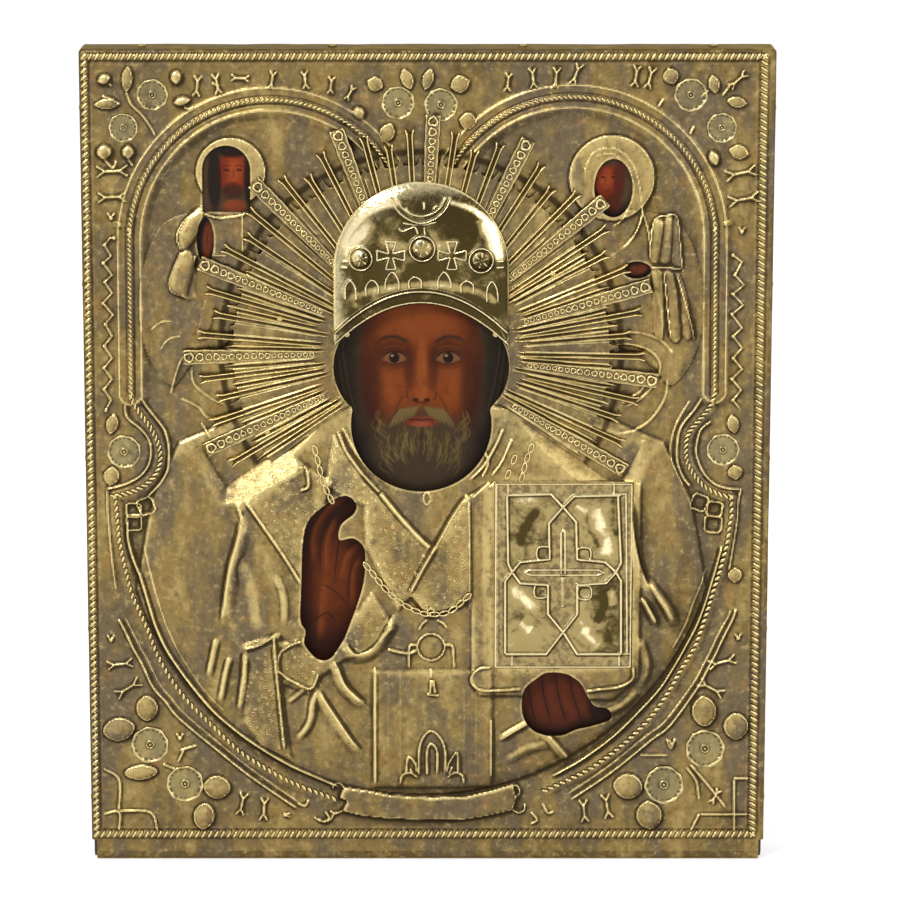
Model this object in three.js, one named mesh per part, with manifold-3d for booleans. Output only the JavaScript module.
// A religious icon: a glued wooden panel with a painted ground, under a chased brass cover with
// folded edges, a separate pierced ray nimbus, a domed mitre, nails, back battens and a hanging ring.
// Millimetres, +Z up, +X to the right. The picture faces -Y. The origin is under the middle of the
// whole, on the surface that the icon stands on.
import * as THREE from 'three';
import { mergeVertices } from 'three/addons/utils/BufferGeometryUtils.js';
import Module from 'manifold-3d';

const wasm = await Module();
wasm.setup();

// Driving sizes of the whole
const iconWidth = 260;
const iconHeight = 315;
const boardThickness = 21;
const groundThickness = 1.2;
const sheetThickness = 0.6;
const fit = 0.3;
const seatGap = 0.05;
const cutOverrun = 1;
const weldDistance = 1e-4;

// Cover: folded edges
const foldRadius = 1.5;
const bottomBendRadius = 4;
const flapDepth = 18;
const notchWidth = 2.2;
const notchHeight = 8.5;

// Panel: planks, chamfers and back battens
const glueLineX = 18;
const boardChamfer = 2.2;
const backChamfer = 2;
const battenWidth = 32;
const battenTaper = 4;
const battenFlare = 2;
const battenGroove = 6;
const battenProud = 6;
const battenChamfer = 1.5;
const battenStop = 15;
const upperBattenDrop = 82;
const upperBattenHeight = iconHeight - upperBattenDrop;
const lowerBattenHeight = 78;

// The stamped design: its middle lies a little to the left of the panel's
const designX = -2.4;
const nimbusHeight = 201;

// Border, and the clearances from it to the frame round the picture
const borderSideMargin = 3.25;
const borderHalfWidth = iconWidth / 2 - borderSideMargin;
const borderShift = 1.15;
const borderLow = 11;
const borderTopMargin = 2.6;
const lobeClearance = 15.85;
const sideLobeClearance = 9.75;
const lowerArcClearance = 7.75;
const bustClearance = 5.5;

// Frame mouldings round the picture
const frameHalfWidth = borderHalfWidth - lobeClearance;
const ropeWidth = 3.4;
const ropeHeight = 1.6;
const listelWidth = 1.5;
const listelHeight = 1.1;
const listelPitch = 3.9;
const outerListelPitch = 9;
const lobeHeight = 247;
const lobeRadiusShare = 0.4644;
const lobeRadius = frameHalfWidth * lobeRadiusShare;
const lobeOffset = frameHalfWidth - lobeRadius;
const lobeDegrees = [157, 0];
const lobeFootHeight = 181;
const sideLobeOffset = borderHalfWidth - sideLobeClearance;
const sideLobeHeight = 163.5;
const sideLobeRadius = 17.5;
const sideLobeDegrees = [107, 275];
const lowerArcHeight = 140;
const lowerArcRadius = borderHalfWidth - lowerArcClearance;
const lowerArcDegrees = [3, -73.5];
const outerArcDegrees = [-16, -66];

// Rosettes
const rosetteRadius = 7.4;
const rosetteHeight = 1.2;
const rosetteBossRadius = 1.5;
const rosetteBossHeight = 1.9;
const rosetteScallop = 0.35;
const rosetteLobes = 8;

// Bust and its drapery
const bustCentreHeight = 100;
const bustRadius = lowerArcRadius - bustClearance;
const bustHeight = 5.4;
const draperyHeight = 2.3;
const sideFigureHeight = 2.4;
const bookHeight = 6.4;
const pageBlockHeight = 5;
const bookRuleWidth = 1.1;
const bookRuleHeight = 0.7;
const ribbonHeight = 1.3;
const haloRingWidth = 2.6;

// Openings for the painted parts
const hairHalfWidth = 33.2;
const hairHalfHeight = 26;
const hairHeight = 195;
const beardHalfWidth = 26.6;
const beardHalfHeight = 25.5;
const beardHeight = 173;

// Nimbus
const nimbusLift = 1.9;
const slotRadius = 75;
const rayPitchDegrees = 5.89;
const firstRayDegrees = 204.9;
const firstRay = -1;
const lastRay = 40;
const beadedEvery = 4;
const beadedRadius = 90;
const longRayRadius = 84.5;
const shortRayRadius = 79.5;
const rayRootRadius = 24;
const plainRayWidth = 2.6;
const beadedRayWidth = 4.6;
const rayRootWidth = 1;
const rayHeight = 1.3;
const nimbusStartDegrees = -34;
const nimbusEndDegrees = 217;
const plateSteps = 42;

// Mitre
const mitreHalfWidth = 33;
const mitreSpringHeight = 233;
const mitreCrown = 33;
const mitreFootHeight = 203;
const mitreArchHeight = 219.5;
const mitreDome = 5.4;
const mitreCentreHeight = 240;
const rimWidth = 5;
const rimProud = 0.8;
const gemRadius = 4.3;
const gemProud = 1.3;
const crossArm = 5.6;
const crossWidth = 2.4;
const crossProud = 0.6;
const crestRadius = 8.6;

// Nails
const nailHeadRadius = 1.7;
const nailHeadHeight = 0.9;
const nailShankRadius = 0.8;
const nailLength = 11;
const pinHeadRadius = 1.2;
const pinHeadHeight = 0.7;
const pinShankRadius = 0.6;
const pinLength = 14;
const nailDepth = 8;
const nailMargin = 23;
const nailSides = 8;

// Hanging ring and its staple
const ringRadius = 14;
const ringWireRadius = 1.2;
const stapleWireRadius = 1;
const stapleClearance = 0.4;
const stapleLegLength = 13;
const ringAxisDrop = 31;
const ringAxisHeight = iconHeight - ringAxisDrop;

// Stations across the depth, the panel's face being at zero
const groundFront = -groundThickness;
const sheetBack = groundFront - fit;
const sheetFront = sheetBack - sheetThickness;
const sheetMiddle = (sheetFront + sheetBack) / 2;
const farFront = sheetFront - 3 * bookHeight;
const nimbusBack = sheetFront - nimbusLift;
const nimbusFront = nimbusBack - sheetThickness;
const mitreBack = nimbusFront - fit;
const boardHalfWidth = iconWidth / 2 - sheetThickness - fit;
const boardBottom = sheetThickness + fit;
const boardTop = iconHeight - sheetThickness - fit;
const battenBack = boardThickness + battenProud;
const ringAxisDepth = boardThickness + fit + ringWireRadius;

const radians = THREE.MathUtils.degToRad;

// Solids

function solid(geometry) {
  const bare = geometry.index ? geometry.toNonIndexed() : geometry.clone();
  bare.deleteAttribute('normal');
  bare.deleteAttribute('uv');
  const merged = mergeVertices(bare, weldDistance);
  return new wasm.Manifold(new wasm.Mesh({
    numProp: 3,
    vertProperties: merged.attributes.position.array,
    triVerts: new Uint32Array(merged.index.array),
  }));
}

function geometryOf(body) {
  const mesh = body.getMesh();
  const geometry = new THREE.BufferGeometry();
  geometry.setAttribute('position', new THREE.BufferAttribute(new Float32Array(mesh.vertProperties), 3));
  geometry.setIndex(Array.from(mesh.triVerts));
  const flat = geometry.toNonIndexed();
  flat.computeVertexNormals();
  return flat;
}

function join(bodies) {
  return bodies.reduce((whole, body) => whole.add(body));
}

// A solid from points and faces, turned so that its faces point out.
function facedOut(positions, faces) {
  const geometry = new THREE.BufferGeometry();
  geometry.setAttribute('position', new THREE.Float32BufferAttribute(positions, 3));
  geometry.setIndex(faces);
  const body = solid(geometry);
  if (body.volume() > 0) {
    return body;
  }
  geometry.setIndex([...faces].reverse());
  return solid(geometry);
}

// A solid through rings of points that all have the same count: capped at its ends, or closed on itself.
function loft(rings, closed = false) {
  const count = rings[0].length;
  const positions = rings.flat().flatMap((point) => [point.x, point.y, point.z]);
  const faces = [];
  const spans = closed ? rings.length : rings.length - 1;
  for (let ring = 0; ring < spans; ring += 1) {
    const next = (ring + 1) % rings.length;
    for (let i = 0; i < count; i += 1) {
      const j = (i + 1) % count;
      faces.push(ring * count + i, ring * count + j, next * count + j);
      faces.push(ring * count + i, next * count + j, next * count + i);
    }
  }
  const last = (rings.length - 1) * count;
  for (let i = 1; i + 1 < count && !closed; i += 1) {
    faces.push(0, i + 1, i);
    faces.push(last, last + i, last + i + 1);
  }
  return facedOut(positions, faces);
}

// An outline given along two axes, carried from one station to another along the third.
function extruded(points, across, upwards, from, to) {
  const shape = new THREE.Shape(points.map(([a, b]) => new THREE.Vector2(a, b)));
  const geometry = new THREE.ExtrudeGeometry(shape, { depth: to - from, bevelEnabled: false });
  geometry.translate(0, 0, from);
  geometry.applyMatrix4(new THREE.Matrix4().makeBasis(across, upwards, across.clone().cross(upwards)));
  return solid(geometry);
}

const alongWidth = new THREE.Vector3(1, 0, 0);
const alongDepth = new THREE.Vector3(0, 1, 0);
const alongHeight = new THREE.Vector3(0, 0, 1);

// An outline of [x, z] points carried through the depth from the back station to the front one.
function prism(points, back, front) {
  return extruded(points, alongWidth, alongHeight, -back, -front);
}

function ellipse(x, z, halfWidth, halfHeight, count) {
  const points = [];
  for (let i = 0; i < count; i += 1) {
    const angle = (2 * Math.PI * i) / count;
    points.push([x + halfWidth * Math.cos(angle), z + halfHeight * Math.sin(angle)]);
  }
  return points;
}

function arc(x, z, radius, fromDegrees, toDegrees, count) {
  const points = [];
  for (let i = 0; i <= count; i += 1) {
    const angle = radians(fromDegrees + ((toDegrees - fromDegrees) * i) / count);
    points.push([x + radius * Math.cos(angle), z + radius * Math.sin(angle)]);
  }
  return points;
}

// Points given as shares of a box, from its lower left corner. A box's left is counted from the middle
// of the stamped design.
function inBox(box, shares) {
  const near = designX + box.left;
  return shares.map(([across, rise]) => [near + box.width * across, box.low + box.height * rise]);
}

// Points given as shares of a radius, about a middle.
function about(x, z, radius, shares) {
  return shares.map(([across, rise]) => [x + radius * across, z + radius * rise]);
}

// The same points on the other side of the stamped design's middle.
function mirrored(points) {
  return points.map(([x, z]) => [2 * designX - x, z]).reverse();
}

// Half-round moulding along a path of [x, z] points, mitred at each corner, on the cover's front.
const mouldingSectionShares = [[-0.5, 0], [-0.36, 0.62], [0, 1], [0.36, 0.62], [0.5, 0]];

function moulding(path, width, height, closed = false, front = sheetFront) {
  const count = path.length;
  const along = (from, to) => new THREE.Vector2(to[0] - from[0], to[1] - from[1]).normalize();
  const rings = path.map((point, i) => {
    const previous = path[(i + count - 1) % count];
    const next = path[(i + 1) % count];
    const before = closed || i > 0 ? along(previous, point) : along(point, next);
    const after = closed || i + 1 < count ? along(point, next) : before;
    const tangent = before.clone().add(after).normalize();
    const stretch = 1 / tangent.dot(after);
    const foot = sheetThickness / 2;
    const section = [...mouldingSectionShares.map(([across, out]) => [across * width, out * height]),
      [width / 2, -foot], [-width / 2, -foot]];
    return section.map(([across, out]) => new THREE.Vector3(
      point[0] - tangent.y * across * stretch,
      front - out,
      point[1] + tangent.x * across * stretch,
    ));
  });
  return loft(rings, closed);
}

// A swelling over an outline: rings of the outline drawn in to a middle, as [share, height off the floor].
function dome(outline, centre, base, floor, rings, raise = 0) {
  const count = outline.length;
  const ringAt = (share, depth) => outline.flatMap(([x, z]) => [
    centre[0] + (x - centre[0]) * share, depth, centre[1] + (z - centre[1]) * share]);
  const raised = rings.map(([share, height]) => [share, floor - height - raise]);
  const layers = [[rings[0][0], base], ...raised].map(([share, depth]) => ringAt(share, depth));
  const top = raised[raised.length - 1][1];
  const middle = layers.length * count;
  const last = (layers.length - 1) * count;
  const faces = [];
  for (let i = 0; i < count; i += 1) {
    const j = (i + 1) % count;
    for (let a = i, b = j; a < last; a += count, b += count) {
      faces.push(a, b, b + count, a, b + count, a + count);
    }
    faces.push(j, i, middle, last + i, last + j, middle + 1);
  }
  return facedOut([...layers.flat(), centre[0], base, centre[1], centre[0], top, centre[1]], faces);
}

// Outlines of the openings

const archSteps = 14;
const faceSteps = 28;
const headSteps = 8;
const ovalSteps = 12;
const haloSteps = 16;

function faceOutline() {
  return [ellipse(designX, hairHeight, hairHalfWidth, hairHalfHeight, faceSteps),
    ellipse(designX, beardHeight, beardHalfWidth, beardHalfHeight, faceSteps)];
}

const handBox = { left: -46.1, low: 82.3, width: 24.8, height: 63.7 };
const handShares = [[0.69, 1], [0.86, 0.95], [0.83, 0.89], [0.63, 0.82], [0.6, 0.73], [0.81, 0.74],
  [0.97, 0.69], [1, 0.6], [0.95, 0.43], [0.72, 0.17], [0.62, 0.09], [0.45, 0], [0.25, 0], [0.06, 0.09],
  [0.08, 0.17], [0, 0.24], [0.02, 0.47], [0.04, 0.69], [0.12, 0.84], [0.35, 0.93]].reverse();

const bookHandBox = { left: 38.6, low: 51, width: 34.1, height: 25.6 };
const bookHandShares = [[0.27, 1], [0.42, 1], [0.54, 0.95], [0.66, 0.82], [0.75, 0.59], [0.82, 0.46],
  [0.95, 0.42], [1, 0.36], [0.99, 0.23], [0.79, 0.14], [0.62, 0.09], [0.45, 0], [0.24, 0.02],
  [0.1, 0.12], [0.01, 0.33], [0, 0.59], [0.04, 0.77], [0.17, 0.92]].reverse();

// The small figures' heads and hands, each placed outwards from the middle of its lobe
const headSpacing = 13.6;
const palmSpacing = 21.6;
const rightHeadShift = 1;
const leftHead = { across: -lobeOffset - headSpacing, low: 254, halfWidth: 9, height: 25 };
const rightHead = {
  across: lobeOffset + headSpacing - rightHeadShift, middle: 263, halfWidth: 7.2, halfHeight: 11,
};
const leftPalm = { across: -lobeOffset - palmSpacing, middle: 243, halfWidth: 3.2, halfHeight: 9 };
const rightPalm = { across: lobeOffset + palmSpacing, middle: 232, halfWidth: 5.4, halfHeight: 3.2 };
const leftHaloRadius = 12.4;
const rightHaloRadius = 15.6;
const haloHeight = 270;

function openings(back, front) {
  const { across, low, halfWidth, height } = leftHead;
  const arch = [[designX + across - halfWidth, low], [designX + across + halfWidth, low],
    ...arc(designX + across, low + height - halfWidth, halfWidth, 0, 180, headSteps)];
  const oval = (spot) => ellipse(
    designX + spot.across, spot.middle, spot.halfWidth, spot.halfHeight, ovalSteps);
  const outlines = [...faceOutline(), inBox(handBox, handShares), inBox(bookHandBox, bookHandShares), arch,
    oval(rightHead), oval(leftPalm), oval(rightPalm)];
  return join(outlines.map((points) => prism(points, back, front)));
}

// Nimbus rays: each is a bar with a sharp or a flat top, from its root to its tip

function rayReach(index) {
  const turn = ((index % beadedEvery) + beadedEvery) % beadedEvery;
  if (turn === 0) {
    return beadedRadius;
  }
  return turn === 2 ? shortRayRadius : longRayRadius;
}

function rayBar(index, back, extraWidth, extraHeight) {
  const beaded = index % beadedEvery === 0;
  const angle = radians(firstRayDegrees - rayPitchDegrees * index);
  const topShare = beaded ? 0.8 : 0.12;
  const tipWidth = (beaded ? beadedRayWidth : plainRayWidth) + extraWidth;
  const rootWidth = rayRootWidth + extraWidth;
  const reach = rayReach(index) + extraWidth / 2;
  const top = sheetThickness + rayHeight + extraHeight;
  const section = (radius, width) => [[-width / 2, 0], [width / 2, 0], [width / 2, sheetThickness],
    [(width * topShare) / 2, top], [(-width * topShare) / 2, top], [-width / 2, sheetThickness],
  ].map(([across, out]) => new THREE.Vector3(
    designX + radius * Math.cos(angle) - across * Math.sin(angle),
    back - out,
    nimbusHeight + radius * Math.sin(angle) + across * Math.cos(angle),
  ));
  return loft([section(rayRootRadius, rootWidth), section(reach, tipWidth)]);
}

const rayCounts = Array.from({ length: lastRay - firstRay + 1 }, (unused, i) => firstRay + i);

function nimbusPlate(back, front, extra) {
  const rim = arc(
    designX, nimbusHeight, slotRadius + extra, nimbusStartDegrees, nimbusEndDegrees, plateSteps);
  return prism([[designX, nimbusHeight], ...rim], back, front);
}

function mitreOutline(extra) {
  const half = mitreHalfWidth + extra;
  const crown = ellipse(designX, mitreSpringHeight, half, mitreCrown + extra, 2 * archSteps);
  return [...crown.slice(0, archSteps + 1), ...archRow(0, extra)];
}

// The lower edge of the mitre, an arch over the brow, from the left foot to the right foot.
function archRow(raise, extra) {
  const row = [];
  const half = mitreHalfWidth + extra;
  const steps = archSteps / 2;
  for (let i = 0; i <= steps; i += 1) {
    const across = -1 + (2 * i) / steps;
    const height = mitreFootHeight + (mitreArchHeight - mitreFootHeight) * (1 - across * across);
    row.push([designX + half * across, height + raise - extra]);
  }
  return row;
}

// Nails

function nailGeometry(headRadius, headHeight, shankRadius, length) {
  const headShares = [[1, 0], [0.87, 0.5], [0.5, 0.86], [0, 1]];
  const profile = [new THREE.Vector2(0, -length), new THREE.Vector2(shankRadius, -length + 3 * shankRadius),
    new THREE.Vector2(shankRadius, 0),
    ...headShares.map(([across, rise]) => new THREE.Vector2(headRadius * across, headHeight * rise))];
  return new THREE.LatheGeometry(profile, nailSides);
}

function flushNailGeometry() {
  const profile = [[0, -nailLength], [nailShankRadius, -nailLength + nailHeadRadius],
    [nailShankRadius, -sheetThickness], [nailHeadRadius, 0], [0, 0]];
  const points = profile.map(([across, rise]) => new THREE.Vector2(across, rise));
  return new THREE.LatheGeometry(points, nailSides);
}

// A drilled hole along the nail's axis: the place is on the outer surface, the way points outwards.
function hole(place, way, radius, length) {
  const geometry = new THREE.CylinderGeometry(radius, radius, length + 2 * cutOverrun, nailSides);
  geometry.translate(0, -length / 2, 0);
  geometry.applyQuaternion(new THREE.Quaternion().setFromUnitVectors(alongDepth, way));
  geometry.translate(place.x, place.y, place.z);
  return solid(geometry);
}

function countersink(place, way) {
  const rim = nailHeadRadius + fit;
  const depth = sheetThickness + 2 * seatGap;
  const geometry = new THREE.CylinderGeometry(rim + seatGap, nailShankRadius + fit, depth, nailSides);
  geometry.translate(0, -sheetThickness / 2, 0);
  geometry.applyQuaternion(new THREE.Quaternion().setFromUnitVectors(alongDepth, way));
  geometry.translate(place.x, place.y, place.z);
  return solid(geometry);
}

const alongDown = alongHeight.clone().negate();
const alongLeft = alongWidth.clone().negate();
const outward = alongDepth.clone().negate();

function spread(count, from, to) {
  return Array.from({ length: count }, (unused, i) => from + ((to - from) * i) / (count - 1));
}

const nails = [];

function addNails(name, places, way, kind) {
  places.forEach((place, i) => nails.push({ name: `${name}_${i + 1}`, place, way, kind }));
}

const sideNailHeights = spread(5, nailMargin, iconHeight - nailMargin);
const edgeNailPlaces = spread(4, nailMargin - iconWidth / 2, iconWidth / 2 - nailMargin);
addNails('top_nail', edgeNailPlaces.map((x) => new THREE.Vector3(x, nailDepth, iconHeight)),
  alongHeight, 'nail');
addNails('left_nail', sideNailHeights.map((z) => new THREE.Vector3(-iconWidth / 2, nailDepth, z)),
  alongLeft, 'nail');
addNails('right_nail', sideNailHeights.map((z) => new THREE.Vector3(iconWidth / 2, nailDepth, z)),
  alongWidth, 'nail');
addNails('bottom_nail', edgeNailPlaces.map((x) => new THREE.Vector3(x, nailDepth, 0)),
  alongDown, 'flush');

// Each nimbus nail sits midway between two rays, at a share of the radius where the slots start
const nimbusNails = [
  { ray: -0.5, reachShare: 0.88 }, { ray: 6.5, reachShare: 0.73 },
  { ray: 29.5, reachShare: 0.77 }, { ray: 38.5, reachShare: 0.91 },
];
addNails('nimbus_nail', nimbusNails.map(({ ray, reachShare }) => {
  const angle = radians(firstRayDegrees - rayPitchDegrees * ray);
  const reach = slotRadius * reachShare;
  const height = nimbusHeight + reach * Math.sin(angle);
  return new THREE.Vector3(designX + reach * Math.cos(angle), nimbusFront, height);
}), outward, 'pin');
const mitreNailOffset = mitreHalfWidth - rimWidth;
const mitreNailHeight = mitreFootHeight + rimWidth;
const mitreNailDepth = mitreBack - sheetThickness - rimProud;
addNails('mitre_nail', [-1, 1].map((side) => {
  const x = designX + side * mitreNailOffset;
  return new THREE.Vector3(x, mitreNailDepth, mitreNailHeight);
}), outward, 'pin');

function nailHoles(chosen) {
  return nails.filter(chosen).map((nail) => {
    const radius = (nail.kind === 'pin' ? pinShankRadius : nailShankRadius) + fit;
    const length = nail.kind === 'pin' ? pinLength : nailLength;
    return hole(nail.place, nail.way, radius, length);
  });
}

// Cover

function tray() {
  const half = iconWidth / 2;
  const flapEnd = sheetFront + flapDepth;
  const bendSteps = 4;
  const bend = (a, b, radius, from, to) => arc(a, b, radius, from, to, bendSteps);
  const thin = sheetThickness;
  const topY = sheetFront + foldRadius;
  const lowY = sheetFront + bottomBendRadius;
  const upright = [
    [flapEnd, iconHeight], ...bend(topY, iconHeight - foldRadius, foldRadius, 90, 180),
    ...bend(lowY, bottomBendRadius, bottomBendRadius, 180, 270), [flapEnd, 0], [flapEnd, thin],
    ...bend(lowY, bottomBendRadius, bottomBendRadius - thin, 270, 180),
    ...bend(topY, iconHeight - foldRadius, foldRadius - thin, 180, 90), [flapEnd, iconHeight - thin],
  ];
  const strip = extruded(upright, alongDepth, alongHeight, -half + foldRadius, half - foldRadius);
  const level = [
    [-half, flapEnd], ...bend(-half + foldRadius, topY, foldRadius, 180, 270),
    ...bend(half - foldRadius, topY, foldRadius, 270, 360), [half, flapEnd], [half - thin, flapEnd],
    ...bend(half - foldRadius, topY, foldRadius - thin, 360, 270),
    ...bend(-half + foldRadius, topY, foldRadius - thin, 270, 180), [-half + thin, flapEnd],
  ];
  const sides = extruded(level, alongWidth, alongDepth, notchHeight, iconHeight - foldRadius);
  const notches = [-1, 1].map((side) => prism([
    [side * (half - notchWidth), -cutOverrun], [side * (half + cutOverrun), -cutOverrun],
    [side * (half + cutOverrun), notchHeight], [side * (half - notchWidth), notchHeight],
  ], flapEnd + cutOverrun, sheetFront - cutOverrun));
  return notches.reduce((whole, cut) => whole.subtract(cut), strip.add(sides));
}

// One half of the frame round the picture; a positive inset draws a line nearer to the picture.
const arcStepDegrees = 15;

function frameLines(inset, lowerRadius, lowerDegrees) {
  const bow = (across, height, radius, [from, to]) => arc(designX + across, height, radius, from, to,
    Math.round(Math.abs(to - from) / arcStepDegrees));
  const lobe = bow(lobeOffset, lobeHeight, lobeRadius - inset, lobeDegrees);
  const foot = [designX + lobeOffset + lobeRadius - inset, lobeFootHeight];
  const side = bow(sideLobeOffset, sideLobeHeight, sideLobeRadius + inset, sideLobeDegrees);
  return [[...lobe, foot, side[0]], side, bow(0, lowerArcHeight, lowerRadius, lowerDegrees)];
}

function frameMouldings() {
  const rope = frameLines(0, lowerArcRadius, lowerArcDegrees);
  const inner = frameLines(listelPitch, lowerArcRadius - listelPitch, lowerArcDegrees);
  const outer = frameLines(-listelPitch, lowerArcRadius + outerListelPitch, outerArcDegrees);
  const lines = [[rope, ropeWidth, ropeHeight], [inner, listelWidth, listelHeight],
    [outer, listelWidth, listelHeight]];
  const bars = lines.flatMap(([paths, width, height]) => paths.flatMap((path) => [
    moulding(path, width, height), moulding(mirrored(path), width, height)]));
  const middle = designX + borderShift;
  const corners = [[middle - borderHalfWidth, borderLow], [middle + borderHalfWidth, borderLow],
    [middle + borderHalfWidth, iconHeight - borderTopMargin],
    [middle - borderHalfWidth, iconHeight - borderTopMargin]];
  return join([...bars, moulding(corners, ropeWidth, ropeHeight, true)]);
}

// Rosettes, on both sides of the middle: places are shares of the border's half width and of the height
const rosettes = [
  { placeShares: [0.8, 0.951], radiusShare: 0.8 },
  { placeShares: [0.889, 0.911], radiusShare: 0.743 },
  { placeShares: [0.065, 0.941], radiusShare: 0.851 },
  { placeShares: [0.906, 0.5175], radiusShare: 0.878 },
  { placeShares: [0.848, 0.144], radiusShare: 1 },
  { placeShares: [0.734, 0.096], radiusShare: 1 },
];

function rosette(side, { placeShares, radiusShare }) {
  const radius = rosetteRadius * radiusShare;
  const x = designX + side * borderHalfWidth * placeShares[0];
  const z = iconHeight * placeShares[1];
  const count = 2 * rosetteLobes;
  const edge = [];
  for (let i = 0; i < count; i += 1) {
    const angle = (2 * Math.PI * i) / count;
    const reach = radius - (i % 2) * rosetteScallop;
    edge.push([x + reach * Math.cos(angle), z + reach * Math.sin(angle)]);
  }
  const disc = prism(edge, sheetMiddle, sheetFront - rosetteHeight);
  const middle = ellipse(x, z, rosetteBossRadius, rosetteBossRadius, rosetteLobes);
  return disc.add(prism(middle, sheetMiddle, sheetFront - rosetteBossHeight));
}

// Bust: a swelling with the drapery laid over it in layers

const shoulderShares = [[0.94, -0.16], [0.905, 0.03], [0.81, 0.23], [0.53, 0.35]];
const bustWallShare = 0.015;
const bustRingShares = [[1, 0.08], [0.96, 0.3], [0.83, 0.6], [0.6, 0.83], [0.3, 1]];
const sideFigureShares = [[-0.44, 0.14], [-0.75, 0.02], [-0.905, -0.43], [-0.87, -0.87], [-0.69, -1.15],
  [-0.52, -0.99], [-0.245, -0.815], [-0.05, -0.43], [-0.05, 0.14]];
const sideFigureCentreShares = [-0.45, -0.45];
const sideFigureWallShare = 0.05;
const sideFigureRingShares = [[1, 0.2], [0.88, 0.75], [0.5, 1]];

// Drapery layers, as shares of the bust's radius about the lower arc's middle, with what each adds
const drapery = [
  { riseShare: 0.43, shares: [[-0.62, 0.07], [-0.4, -0.24], [-0.4, -0.37], [-0.385, -0.47], [-0.47, -0.43],
    [-0.61, -0.49], [-0.64, -0.43], [-0.667, -0.28], [-0.64, -0.16], [-0.613, -0.04]] },
  { riseShare: 0.78, shares: [[-0.62, 0.075], [-0.4, -0.235], [-0.395, -0.12], [-0.38, -0.035],
    [-0.325, 0.02], [-0.3, 0.1], [-0.46, 0.2]] },
  { riseShare: 0.65, shares: [[-0.29, 0.25], [-0.19, 0.1], [-0.07, -0.035], [0.035, -0.135], [-0.035, -0.29],
    [-0.08, -0.34], [-0.185, -0.12], [-0.19, 0.02], [-0.265, 0.05], [-0.32, 0.09]] },
  { riseShare: 1, shares: [[0.15, 0.05], [0.035, -0.135], [-0.035, -0.29], [0.02, -0.36], [0.12, -0.33],
    [0.165, -0.3], [0.165, 0.05]] },
  { riseShare: 0.52, shares: [[-0.165, -0.55], [0.235, -0.55], [0.235, -0.965], [-0.165, -0.965]] },
  { riseShare: 0.61, shares: [[-0.475, -0.455], [-0.465, -0.595], [-0.38, -0.63], [-0.34, -0.57],
    [-0.26, -0.51], [-0.2, -0.49], [-0.09, -0.405], [-0.167, -0.28], [-0.26, -0.41]] },
  { riseShare: 0.52, shares: [[-0.6, -0.46], [-0.478, -0.42], [-0.47, -0.667], [-0.443, -0.87],
    [-0.545, -0.823], [-0.6, -0.738]] },
];

const bustArcDegrees = [196, 344];
const bustArcSteps = 12;

function bustOutline() {
  const low = arc(designX, lowerArcHeight, bustRadius, ...bustArcDegrees, bustArcSteps);
  const rightSide = about(designX, lowerArcHeight, bustRadius, shoulderShares);
  return [...low, ...rightSide, ...mirrored(rightSide)];
}

function bustDome(raise, shrink, base) {
  const rings = bustRingShares.map(([share, height]) => [share - shrink, height * bustHeight]);
  return dome(bustOutline(), [designX, bustCentreHeight], base, sheetFront, rings, raise);
}

function bust() {
  const layers = drapery.map(({ riseShare, shares }) => {
    const outline = about(designX, lowerArcHeight, bustRadius, shares);
    const raise = draperyHeight * riseShare;
    return prism(outline, sheetMiddle, farFront).intersect(bustDome(raise, 0, sheetMiddle));
  });
  return join([bustDome(0, 0, sheetMiddle), ...layers]);
}

function sideFigures(raise, shrink, base) {
  const rings = sideFigureRingShares.map(([share, height]) => [share - shrink, height * sideFigureHeight]);
  const outline = about(designX - lobeOffset, lobeHeight, lobeRadius, sideFigureShares);
  const [centre] = about(designX - lobeOffset, lobeHeight, lobeRadius, [sideFigureCentreShares]);
  return dome(outline, centre, base, sheetFront, rings, raise)
    .add(dome(mirrored(outline), [2 * designX - centre[0], centre[1]], base, sheetFront, rings, raise));
}

// Book: page block, cover plate and the mouldings on it

const bookBox = { left: 27.5, low: 78.5, width: 53, height: 73 };
const pageShares = [[-0.16, 0.93], [0, 0.99], [1.05, 0.99], [1.05, -0.06], [0.86, -0.18], [0.21, -0.15],
  [-0.1, -0.145], [-0.155, -0.09]];
const cornerPanelShares = [[0.79, 0.855], [0.17, 0.863], [0.03, 0.745], [0.17, 0.57], [0.18, 0.3],
  [0.38, 0.295], [0.39, 0.167], [0.615, 0.167], [0.73, 0.063], [0.79, 0.15]];
const crossShares = [[0.6, 0], [0, 0.44]];

function rectangle(box, inset) {
  const near = designX + box.left + inset;
  const far = designX + box.left + box.width - inset;
  const top = box.low + box.height - inset;
  return [[near, box.low + inset], [far, box.low + inset], [far, top], [near, top]];
}

function book() {
  const front = sheetFront - bookHeight;
  const middle = [designX + bookBox.left + bookBox.width / 2, bookBox.low + bookBox.height / 2];
  const place = ([across, rise]) => [middle[0] + (across * bookBox.width) / 2,
    middle[1] + (rise * bookBox.height) / 2];
  const rule = (path, closed) => moulding(path, bookRuleWidth, bookRuleHeight, closed, front);
  const panels = [[1, 1], [-1, 1], [-1, -1], [1, -1]].map(([a, b]) => rule(
    cornerPanelShares.map(([across, rise]) => place([a * across, b * rise])), true));
  const ends = crossShares.map(([across, rise]) => [place([-across, -rise]), place([across, rise])]);
  const cross = ends.map((path) => rule(path, false));
  const border = rule(rectangle(bookBox, bookRuleWidth / 2), true);
  return join([
    prism(rectangle(bookBox, 0), sheetMiddle, front),
    prism(inBox(bookBox, pageShares), sheetMiddle, sheetFront - pageBlockHeight),
    border, ...panels, ...cross,
  ]);
}

function bookHollow() {
  const wall = 2 * sheetThickness;
  return prism(rectangle(bookBox, wall), groundFront, sheetFront - bookHeight + sheetThickness);
}

// Title ribbon: a low curved band, left bare

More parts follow.
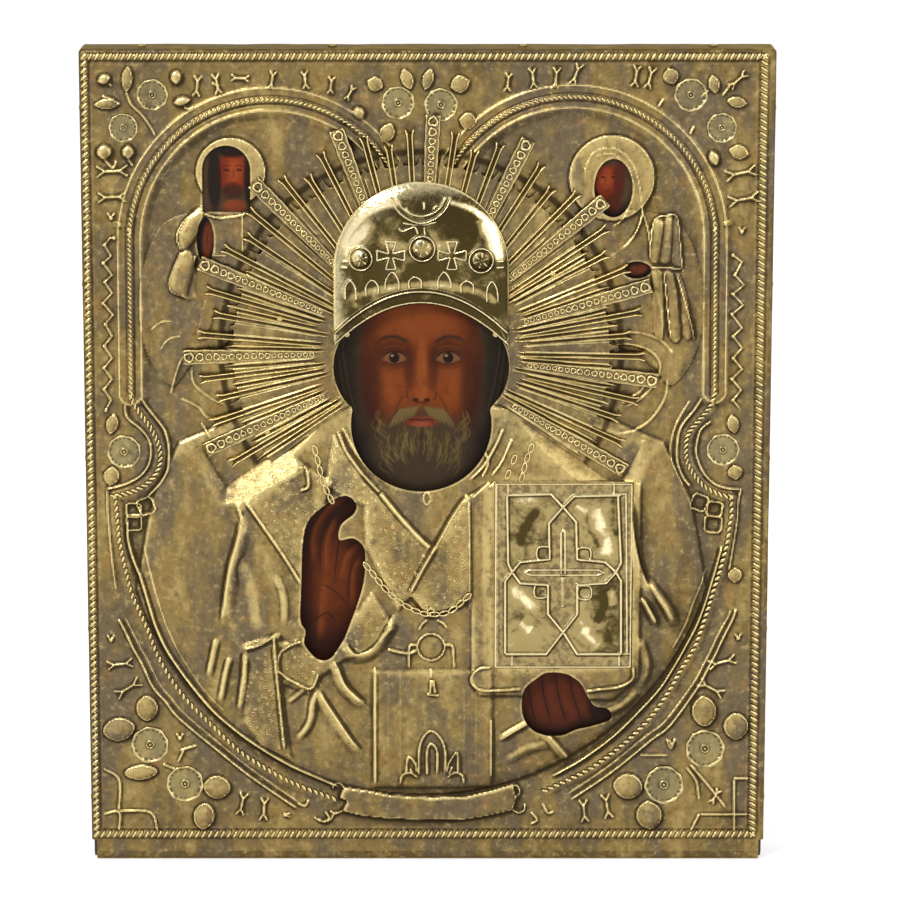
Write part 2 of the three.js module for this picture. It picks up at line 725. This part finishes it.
const ribbonBox = { left: -32, low: 15.9, width: 69.2, height: 12.9 };
const ribbonShares = [[0.04, 0.94], [0.32, 0.74], [0.58, 0.69], [0.78, 0.8], [0.97, 1], [1, 0.4],
  [0.75, 0.1], [0.51, 0], [0.26, 0.08], [0.02, 0.28], [0.05, 0.6]].reverse();

function brassCover() {
  const halo = (across, radius) => moulding(
    ellipse(designX + across, haloHeight, radius, radius, haloSteps), haloRingWidth, listelHeight, true);
  const relief = join([
    bust(), sideFigures(0, 0, sheetMiddle), book(), frameMouldings(),
    halo(leftHead.across, leftHaloRadius), halo(rightHead.across, rightHaloRadius),
    prism(inBox(ribbonBox, ribbonShares), sheetMiddle, sheetFront - ribbonHeight),
    ...rosettes.flatMap((each) => [rosette(1, each), rosette(-1, each)]),
  ]);
  const underNimbus = nimbusBack + fit;
  const nimbusRoom = nimbusPlate(underNimbus, farFront, 2 * fit);
  const rayRoom = rayCounts.map((ray) => rayBar(ray, underNimbus, 2 * fit, bookHeight));
  const hollow = bustDome(-sheetThickness, bustWallShare, groundFront)
    .add(sideFigures(-sheetThickness, sideFigureWallShare, groundFront))
    .subtract(nimbusPlate(underNimbus + sheetThickness, farFront, 4 * fit))
    .add(bookHollow());
  const nailed = nailHoles(() => true);
  const flush = nails.filter(({ kind }) => kind === 'flush');
  const sinks = flush.map(({ place, way }) => countersink(place, way));
  return [nimbusRoom, ...rayRoom].reduce((whole, room) => whole.subtract(room), relief)
    .add(tray())
    .subtract(hollow)
    .subtract(openings(groundFront, farFront))
    .subtract(join([...nailed, ...sinks]));
}

function rayNimbus() {
  const rays = join(rayCounts.map((ray) => rayBar(ray, nimbusBack, 0, 0)));
  const faceHole = faceOutline().map((points) => prism(points, groundFront, farFront));
  return rays
    .subtract(prism(mitreOutline(2 * fit), nimbusFront, farFront))
    .add(nimbusPlate(nimbusBack, nimbusFront, 0))
    .subtract(join(faceHole))
    .subtract(join(nailHoles((nail) => nail.kind === 'pin')));
}

// Mitre: a hollow dome with a flange, a rim over the brow, three gems, two crosses and a crest

const mitreRingShares = [[1, 0.1], [0.955, 0.12], [0.93, 0.36], [0.8, 0.75], [0.55, 0.95], [0.2, 1]];
const mitreWallShare = 0.03;

// Places on the mitre, as shares of its half width and of its crown, from the middle of its spring line
const mitreGemShares = [[-0.69, 0.13], [0.01, 0.25], [0.68, 0.11]];
const mitreCrossShares = [[-0.34, 0.16], [0.34, 0.16]];
const crestShares = [0, 0.85];

function mitreShell(raise, shrink, base) {
  const rings = mitreRingShares.map(([share, height]) => [share - shrink, height * mitreDome]);
  return dome(mitreOutline(0), [designX, mitreCentreHeight], base, mitreBack, rings, raise);
}

function mitre() {
  const raised = (outline, rise) => prism(outline, mitreBack, farFront)
    .intersect(mitreShell(rise, 0, mitreBack));
  const place = ([across, rise]) => [designX + mitreHalfWidth * across,
    mitreSpringHeight + mitreCrown * rise];
  const disc = (shares, radius) => ellipse(...place(shares), radius, radius, ovalSteps);
  const bar = (shares, halfWidth, halfHeight) => {
    const [x, z] = place(shares);
    return [[x - halfWidth, z - halfHeight], [x + halfWidth, z - halfHeight],
      [x + halfWidth, z + halfHeight], [x - halfWidth, z + halfHeight]];
  };
  const details = [
    raised([...archRow(0, 0), ...archRow(rimWidth, 0).reverse()], rimProud),
    ...mitreGemShares.map((shares) => raised(disc(shares, gemRadius), gemProud)),
    ...mitreCrossShares.flatMap((shares) => [
      raised(bar(shares, crossWidth / 2, crossArm), crossProud),
      raised(bar(shares, crossArm, crossWidth / 2), crossProud)]),
    raised(disc(crestShares, crestRadius), rimProud),
  ];
  const pins = nails.filter(({ name }) => name.startsWith('mitre'));
  const seats = pins.map(({ place: spot, way }) => hole(
    spot.clone().addScaledVector(way, pinLength), way, pinHeadRadius + fit, pinLength - cutOverrun));
  return join([mitreShell(0, 0, mitreBack), ...details])
    .subtract(mitreShell(-sheetThickness, mitreWallShare, mitreBack + cutOverrun))
    .subtract(join([...nailHoles((nail) => pins.includes(nail)), ...seats]));
}

// Panel

function battenSolid(height, side, grow) {
  const entry = side * (boardHalfWidth + (grow > 0 ? cutOverrun : 0));
  const end = -side * (boardHalfWidth - battenStop + grow);
  const root = boardThickness - battenGroove - grow;
  const neck = boardThickness;
  const station = (x, width, points) => points(width / 2 + grow)
    .map(([y, z]) => new THREE.Vector3(x, y, height + z));
  const edge = battenBack - battenChamfer;
  const dovetail = (half) => [[root, -half - battenFlare], [root, half + battenFlare],
    [neck, half], [neck, -half]];
  const proud = (half) => [[neck - battenChamfer, -half], [neck - battenChamfer, half], [edge, half],
    [battenBack, half - battenChamfer], [battenBack, battenChamfer - half], [edge, -half]];
  return join([dovetail, proud].map((points) => loft([
    station(entry, battenWidth, points), station(end, battenWidth - battenTaper, points)])));
}

const battens = [
  { name: 'upper_batten', height: upperBattenHeight, side: 1 },
  { name: 'lower_batten', height: lowerBattenHeight, side: -1 },
];

function plank(from, to) {
  const arris = foldRadius / 2;
  const profile = [[0, boardBottom + boardChamfer], [boardChamfer, boardBottom],
    [boardThickness - backChamfer, boardBottom], [boardThickness, boardBottom + backChamfer],
    [boardThickness, boardTop - backChamfer], [boardThickness - backChamfer, boardTop],
    [arris, boardTop], [0, boardTop - arris]];
  const grooves = battens.map(({ height, side }) => battenSolid(height, side, fit));
  const stapleHoles = [-1, 1].map((side) => hole(
    new THREE.Vector3(0, boardThickness, ringAxisHeight + side * stapleReach), alongDepth,
    stapleWireRadius + fit, stapleLegLength));
  return extruded(profile, alongDepth, alongHeight, from, to)
    .subtract(join([...grooves, ...nailHoles(() => true), ...stapleHoles]));
}

function paintedGround() {
  const half = boardHalfWidth - fit - sheetThickness / 2;
  const top = boardTop - fit - sheetThickness / 2;
  const low = bottomBendRadius;
  return prism([[-half, low], [half, low], [half, top], [-half, top]], 0, groundFront)
    .subtract(join(nailHoles((nail) => nail.kind === 'pin')));
}

// Staple: two legs in the panel, one above the other, with the ring's wire between them

const stapleReach = ringWireRadius + stapleClearance + stapleWireRadius;

function ringStaple() {
  const bowSteps = 8;
  const sides = 8;
  const wire = ellipse(0, 0, stapleWireRadius, stapleWireRadius, sides);
  const ringAt = (degrees, shift) => wire.map(([out, across]) => {
    const turn = radians(degrees);
    const reach = stapleReach + out;
    return new THREE.Vector3(across, shift + reach * Math.cos(turn), reach * Math.sin(turn));
  });
  const bow = Array.from({ length: bowSteps + 1 }, (unused, i) => ringAt(-90 + (180 * i) / bowSteps, 0));
  return loft([ringAt(-90, -stapleLegLength), ...bow, ringAt(90, -stapleLegLength)]);
}

function hangingRing() {
  const sides = 8;
  const segments = 24;
  return new THREE.TorusGeometry(ringRadius, ringWireRadius, sides, segments).rotateX(Math.PI / 2);
}

// Assembly

const mitreFront = mitreBack - mitreDome - gemProud;
const icon = new THREE.Group();
icon.position.y = -(mitreFront + battenBack) / 2;

function material(color, roughness, metalness) {
  return new THREE.MeshStandardMaterial({ color, roughness, metalness });
}

const finishes = {
  pine: () => material(0x6b4a2c, 0.75, 0),
  oldPine: () => material(0x57391f, 0.7, 0),
  paint: () => material(0x3a2012, 0.45, 0),
  brass: () => material(0xa48a4c, 0.38, 1),
  paleBrass: () => material(0xb09a62, 0.3, 1),
  polishedBrass: () => material(0xc6ad73, 0.14, 1),
  nailBrass: () => material(0x9c8146, 0.42, 1),
  iron: () => material(0x3d3834, 0.55, 1),
};

function add(name, geometry, finish) {
  const mesh = new THREE.Mesh(geometry, finish());
  mesh.name = name;
  icon.add(mesh);
  return mesh;
}

add('panel_plank_wide', geometryOf(plank(-boardHalfWidth, glueLineX)), finishes.pine);
add('panel_plank_narrow', geometryOf(plank(glueLineX, boardHalfWidth)), finishes.pine);
for (const { name, height, side } of battens) {
  add(name, geometryOf(battenSolid(height, side, 0)), finishes.oldPine);
}
add('painted_ground', geometryOf(paintedGround()), finishes.paint);
add('brass_cover', geometryOf(brassCover()), finishes.brass);
add('ray_nimbus', geometryOf(rayNimbus()), finishes.paleBrass);
add('mitre', geometryOf(mitre()), finishes.polishedBrass);

const nailKinds = {
  nail: () => nailGeometry(nailHeadRadius, nailHeadHeight, nailShankRadius, nailLength),
  pin: () => nailGeometry(pinHeadRadius, pinHeadHeight, pinShankRadius, pinLength),
  flush: flushNailGeometry,
};
for (const nail of nails) {
  const mesh = add(nail.name, nailKinds[nail.kind](), finishes.nailBrass);
  const seat = nail.kind === 'flush' ? -seatGap : seatGap;
  mesh.position.copy(nail.place).addScaledVector(nail.way, seat);
  mesh.quaternion.setFromUnitVectors(alongDepth, nail.way);
}

const staple = add('ring_staple', geometryOf(ringStaple()), finishes.iron);
staple.position.set(0, ringAxisDepth, ringAxisHeight);
const ring = add('hanging_ring', hangingRing(), finishes.iron);
ring.position.set(0, ringAxisDepth, ringAxisHeight - ringRadius);

export default icon;
